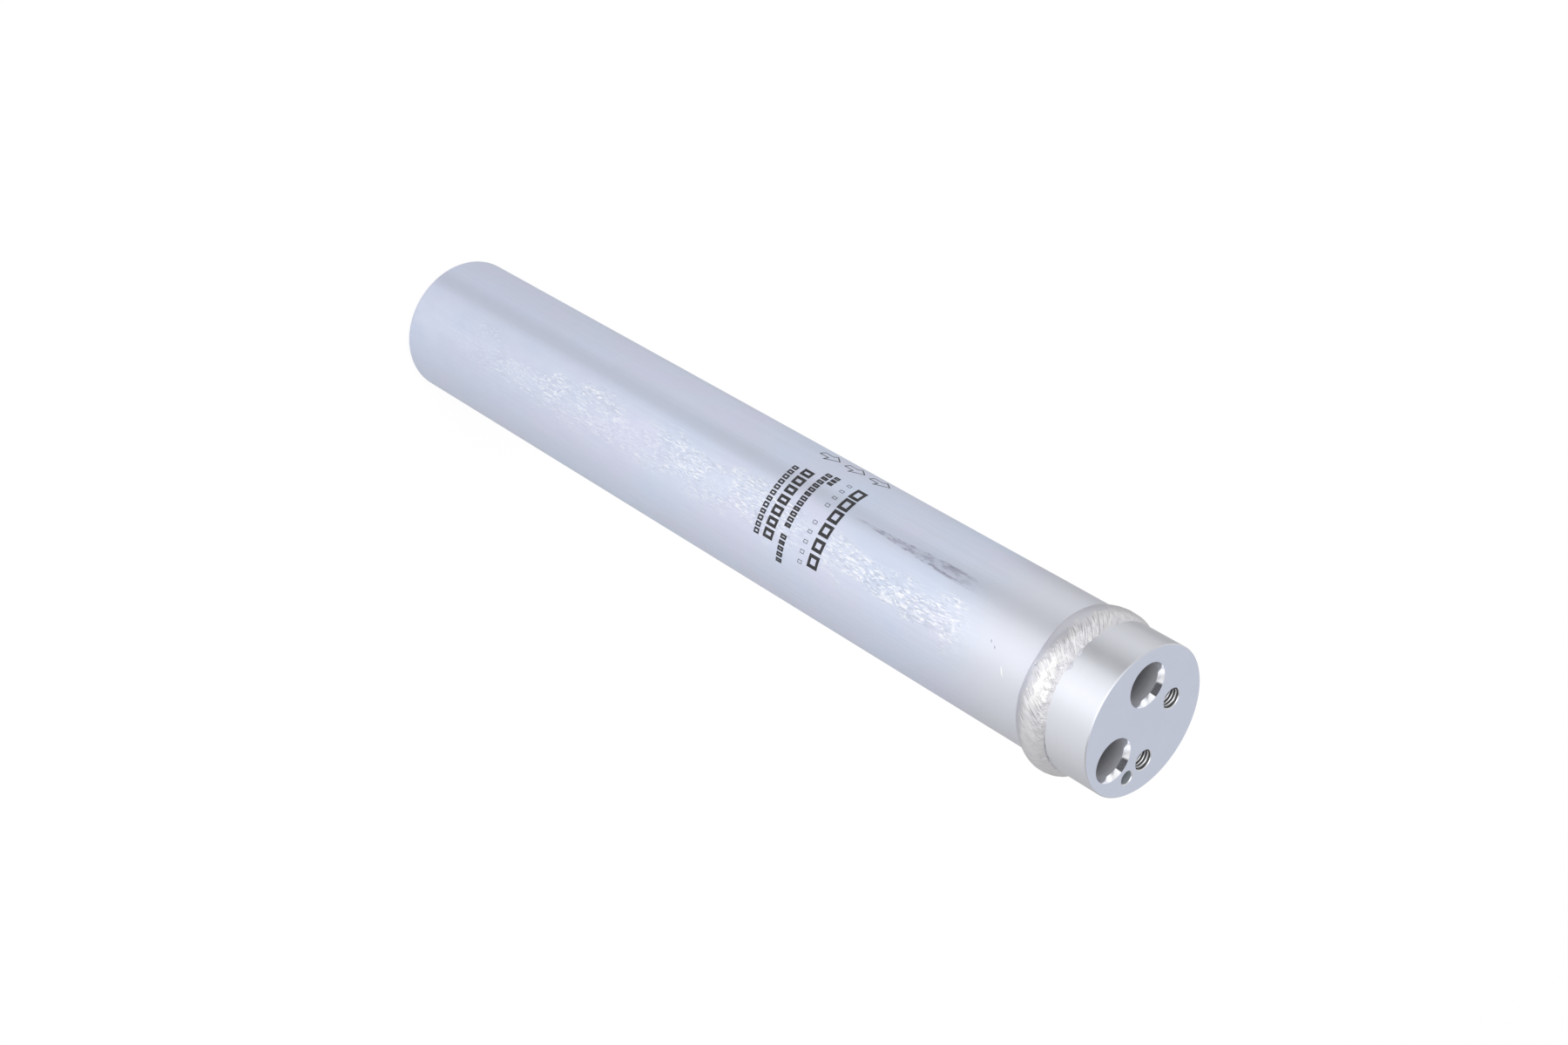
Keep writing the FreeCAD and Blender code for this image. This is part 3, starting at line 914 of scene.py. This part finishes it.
class DRIER_OT_arrows(bpy.types.Operator):
    """Prints three outlined arrows in a row along the can, towards the head"""

    bl_idname = "drier.arrows"
    bl_label = "Arrows"

    def execute(self, context):
        settings = context.scene.drier_print
        arrow = np.array([(-1.35, 0), (1.35, 0), (1.35, 3.4), (3.45, 3.4), (0, 7.6), (-3.45, 3.4),
                                   (-1.35, 3.4)]) * MM
        patches = []
        # where each arrow starts: the azimuth in degrees and the height in millimetres
        for start_degrees, start_z in ((102.9, 171.0), (101.5, 180.85), (100.2, 190.7)):
            place = (math.radians(start_degrees) * CAN_R, start_z * MM)
            flat = outline_band(arrow + place, settings.line)
            patches.append((flat, grid_faces(2, flat.shape[1])))
        ink_piece("flow_arrows", settings, patches)
        return {"FINISHED"}


class DRIER_OT_rows(bpy.types.Operator):
    """Prints rows of plain frames beside the arrows"""

    bl_idname = "drier.rows"
    bl_label = "Printed rows"

    def execute(self, context):
        settings = context.scene.drier_print
        # middle height, height and line width in millimetres, first and last degree,
        # frames in each word, and the share of its place that a frame fills
        rows = ((197.0, 4.1, 1.05, 122.4, 195.8, (6,), 0.86),
                (192.0, 1.6, 0.16, 121.0, 198.6, (4, 5), 0.34),
                (186.7, 2.1, 0.55, 122.4, 133.8, (3,), 0.78),
                (183.7, 2.4, 0.6, 123.3, 205.0, (12, 5), 0.78),
                (177.9, 4.0, 0.95, 129.3, 192.8, (7,), 0.8),
                (173.1, 2.1, 0.55, 132.0, 193.5, (12,), 0.78))
        # The rows rise by this many millimetres a degree, about the middle of the print.
        slope, middle_degree = 0.017, 160
        random = np.random.default_rng(5)
        patches = []
        for middle, tall, line, first, last, words, filled in rows:
            wide = (last - first) / (sum(words) + len(words) - 1)
            start = first
            for word in words:
                for place in range(word):
                    width = wide * filled * random.uniform(0.9, 1.08)
                    mid = start + wide * (place + 0.5)
                    arc = math.radians(mid) * CAN_R
                    half = math.radians(width / 2) * CAN_R
                    z = (middle + slope * (mid - middle_degree)) * MM
                    low, high = z - tall / 2 * MM, z + tall / 2 * MM
                    frame_corners = [(arc - half, low), (arc + half, low),
                                     (arc + half, high), (arc - half, high)]
                    flat = outline_band(frame_corners, line * MM)
                    patches.append((flat, grid_faces(2, flat.shape[1])))
                start += wide * (word + 1)
        ink_piece("print_rows", settings, patches)
        return {"FINISHED"}


class DRIER_OT_insides(bpy.types.Operator):
    """Gives the solids inside the can their finishes"""

    bl_idname = "drier.insides"
    bl_label = "Insides"

    def execute(self, context):
        tube = plain_finish("drawn_aluminium_tube", "#E6E8EC", 0.9, 0.4, 0.01, (1, 1, 0.05),
                            Metallic=1.0, Roughness=0.28)
        plated = plain_finish("tinned_steel", "#D2D3D6", 0.88, 0.8, 0.01,
                              Metallic=1.0, Roughness=0.3)
        spring = plain_finish("oiled_spring_steel", "#8E9197", 0.8, 0.5, 0.01,
                              Metallic=1.0, Roughness=0.35)
        felt = plain_finish("needled_felt", "#E6E2D4", 0.75, 0.35, 0.2, (1, 1, 0.4),
                            Roughness=0.95)
        nylon = plain_finish("moulded_nylon", "#E2DDCC", 0.94, 1.5, 0.02, Roughness=0.5,
                             Subsurface_Weight=0.15, IOR=1.53)
        sieve = beads()
        screen = woven("woven_steel", "#C9CACC", 0.8, 1.0)
        mesh = woven("woven_nylon", "#E4E0D2", 0.5, 0.0)
        finishes = {
            "pickup_tube": tube, "sump_spacer": tube, "strainer_cage": nylon,
            "strainer_mesh": mesh, "lower_plate": plated, "upper_plate": plated,
            "lower_screen": screen, "upper_screen": screen, "lower_filter_pad": felt,
            "upper_filter_pad": felt, "desiccant_bed": sieve, "hold_down_spring": spring,
        }
        for name, finish in finishes.items():
            solid = frame["nodes"][name]
            if not solid.material_slots:
                solid.data.materials.append(finish)
            for slot in solid.material_slots:
                slot.material = finish
        return {"FINISHED"}


# Stage

def floor_material(white):
    """Matt white floor. The camera sees the given share of its white as even light, so
    that only a soft shadow stays."""
    made, add = new_material("matt_white_floor")
    even = add("Emission", Color=(1, 1, 1), Strength=1.03)
    matt = add("BsdfDiffuse", Color=(0.9, 0.9, 0.9))
    path = add("LightPath").outputs
    seen = add("Math.ADD", path["Is Camera Ray"], path["Is Glossy Ray"])
    seen = add("Math.ADD", seen, path["Is Transmission Ray"], use_clamp=True)
    add("OutputMaterial", add("MixShader", add(TIMES, seen, white), matt, even))
    return made


def studio_world():
    """A white studio. Gloss sees its walls: light and dark by the compass direction, even
    above, and one dark gap low on the camera's side. The camera sees plain white."""
    world = bpy.data.worlds.new("studio")
    bpy.context.scene.world = world
    add = empty_tree(world)
    way = add("SeparateXYZ", add("TexCoord").outputs["Generated"])
    compass = add("MapRange", turn_of(add, way), -math.pi, math.pi)
    up = way.outputs["Z"]
    # (compass direction in degrees, brightness) of the table below, the walls and the ceiling
    table = ((0, 0.52), (27, 0.49), (44, 0.64), (76, 0.79), (92, 0.72), (104, 0.61), (116, 0.49),
             (128, 0.60), (140, 0.90), (158, 1.10), (178, 1.22), (192, 1.16), (206, 1.02),
             (220, 0.91), (268, 0.71), (300, 0.58), (330, 0.52))
    walls = ((0, 0.6), (30, 0.72), (60, 0.84), (85, 0.84), (100, 0.92), (120, 1.05), (150, 1.17),
             (190, 1.15), (212, 0.95), (235, 0.8), (262, 0.7), (300, 0.57), (330, 0.54))
    ceiling = ((0, 0.72), (100, 0.72), (140, 1.1), (160, 1.3), (200, 1.35), (225, 1.0), (245, 0.5),
               (310, 0.6), (340, 0.72))
    low, level, high = (
        add("ValToRGB", compass, stops=[(turned / 360, (light,) * 3) for turned, light in lights])
        for lights in (table, walls, ceiling))
    seen = add(MIX, add(EASE, up, -0.42, -0.2), low, level)
    seen = add(MIX, add(EASE, up, 0.2, 0.4), seen, high)
    gap = add(TIMES, window(add, compass, 143 / 360, 145 / 360, 198 / 360, 212 / 360),
              window(add, up, 0.06, 0.09, 0.19, 0.23))
    seen = add(MIX, add(TIMES, gap, 0.97), seen, (0.06, 0.06, 0.07))
    shown = add(MIX, add("LightPath").outputs["Is Camera Ray"], seen, (1, 1, 1))
    add("OutputWorld", add("Background", Color=shown, Strength=1.0))


def add_camera(settings):
    """The photograph's viewpoint."""
    right = Vector((0.637907, 0.384458, 0.667283))
    up = Vector((-0.136866, 0.909277, -0.393043))
    forward = Vector((0.757853, -0.159397, -0.632654))
    place = Vector((-583.228, 119.793, 650.425)) * MM
    data = bpy.data.cameras.new("camera")
    data.sensor_width = 36
    data.lens = settings.lens / MM
    camera = bpy.data.objects.new("camera", data)
    axes = Matrix((right, up, -forward)).transposed()
    camera.matrix_world = Matrix.Translation(place) @ axes.to_4x4()
    bpy.context.scene.collection.objects.link(camera)
    bpy.context.scene.camera = camera


def add_softbox(settings):
    """One broad lamp high on the camera's side."""
    data = bpy.data.lights.new("softbox", "AREA")
    data.shape = "RECTANGLE"
    data.size = 0.7
    data.size_y = 0.5
    data.energy = settings.lamp_power
    lamp = bpy.data.objects.new("softbox", data)
    place = Vector((-0.35, 0.2, 1.15))
    target = Vector((0, 0, 0.2))
    lamp.location = place
    lamp.rotation_euler = (target - place).to_track_quat("-Z", "Y").to_euler()
    lamp.visible_glossy = False
    bpy.context.scene.collection.objects.link(lamp)


class DRIER_OT_stage(bpy.types.Operator):
    """Adds the floor, the light and the camera"""

    bl_idname = "drier.stage"
    bl_label = "Stage"

    def execute(self, context):
        settings = context.scene.drier_stage
        half, drop = 4.0, -0.05 * MM
        corners = [(x * half, y * half, drop) for x, y in ((-1, -1), (1, -1), (1, 1), (-1, 1))]
        floor = add_object("floor", corners, [(0, 1, 2, 3)])
        floor.data.materials.append(floor_material(settings.floor_white))
        floor.visible_glossy = False
        studio_world()
        add_camera(settings)
        add_softbox(settings)
        context.scene.view_settings.view_transform = "Standard"
        return {"FINISHED"}


class DRIER_PT_panel(bpy.types.Panel):
    """Lists the pieces of the filter drier and their settings"""

    bl_idname = "DRIER_PT_panel"
    bl_label = "Filter drier"
    bl_space_type = "VIEW_3D"
    bl_region_type = "UI"
    bl_category = "Drier"

    def draw(self, context):
        for operator in OPERATORS:
            self.layout.operator(operator.bl_idname)
        for name in SETTINGS:
            group = getattr(context.scene, name)
            box = self.layout.box()
            for key in group.bl_rna.properties.keys():
                if key not in ("rna_type", "name"):
                    box.prop(group, key)


SETTINGS = {
    "drier_can": CanSettings, "drier_head": HeadSettings, "drier_weld": WeldSettings,
    "drier_print": PrintSettings, "drier_stage": StageSettings,
}
OPERATORS = (DRIER_OT_can, DRIER_OT_head, DRIER_OT_weld, DRIER_OT_arrows, DRIER_OT_rows,
             DRIER_OT_insides, DRIER_OT_stage)


def register():
    for made in (*SETTINGS.values(), *OPERATORS, DRIER_PT_panel):
        bpy.utils.register_class(made)
    for name, group in SETTINGS.items():
        setattr(bpy.types.Scene, name, PointerProperty(type=group))


def unregister():
    for name in SETTINGS:
        delattr(bpy.types.Scene, name)
    for made in (DRIER_PT_panel, *reversed(OPERATORS), *SETTINGS.values()):
        bpy.utils.unregister_class(made)


def main():
    register()
    bpy.ops.drier.can()
    bpy.ops.drier.head()
    bpy.ops.drier.weld()
    bpy.ops.drier.arrows()
    bpy.ops.drier.rows()
    bpy.ops.drier.insides()
    bpy.ops.drier.stage()


if __name__ == "__main__":
    main()
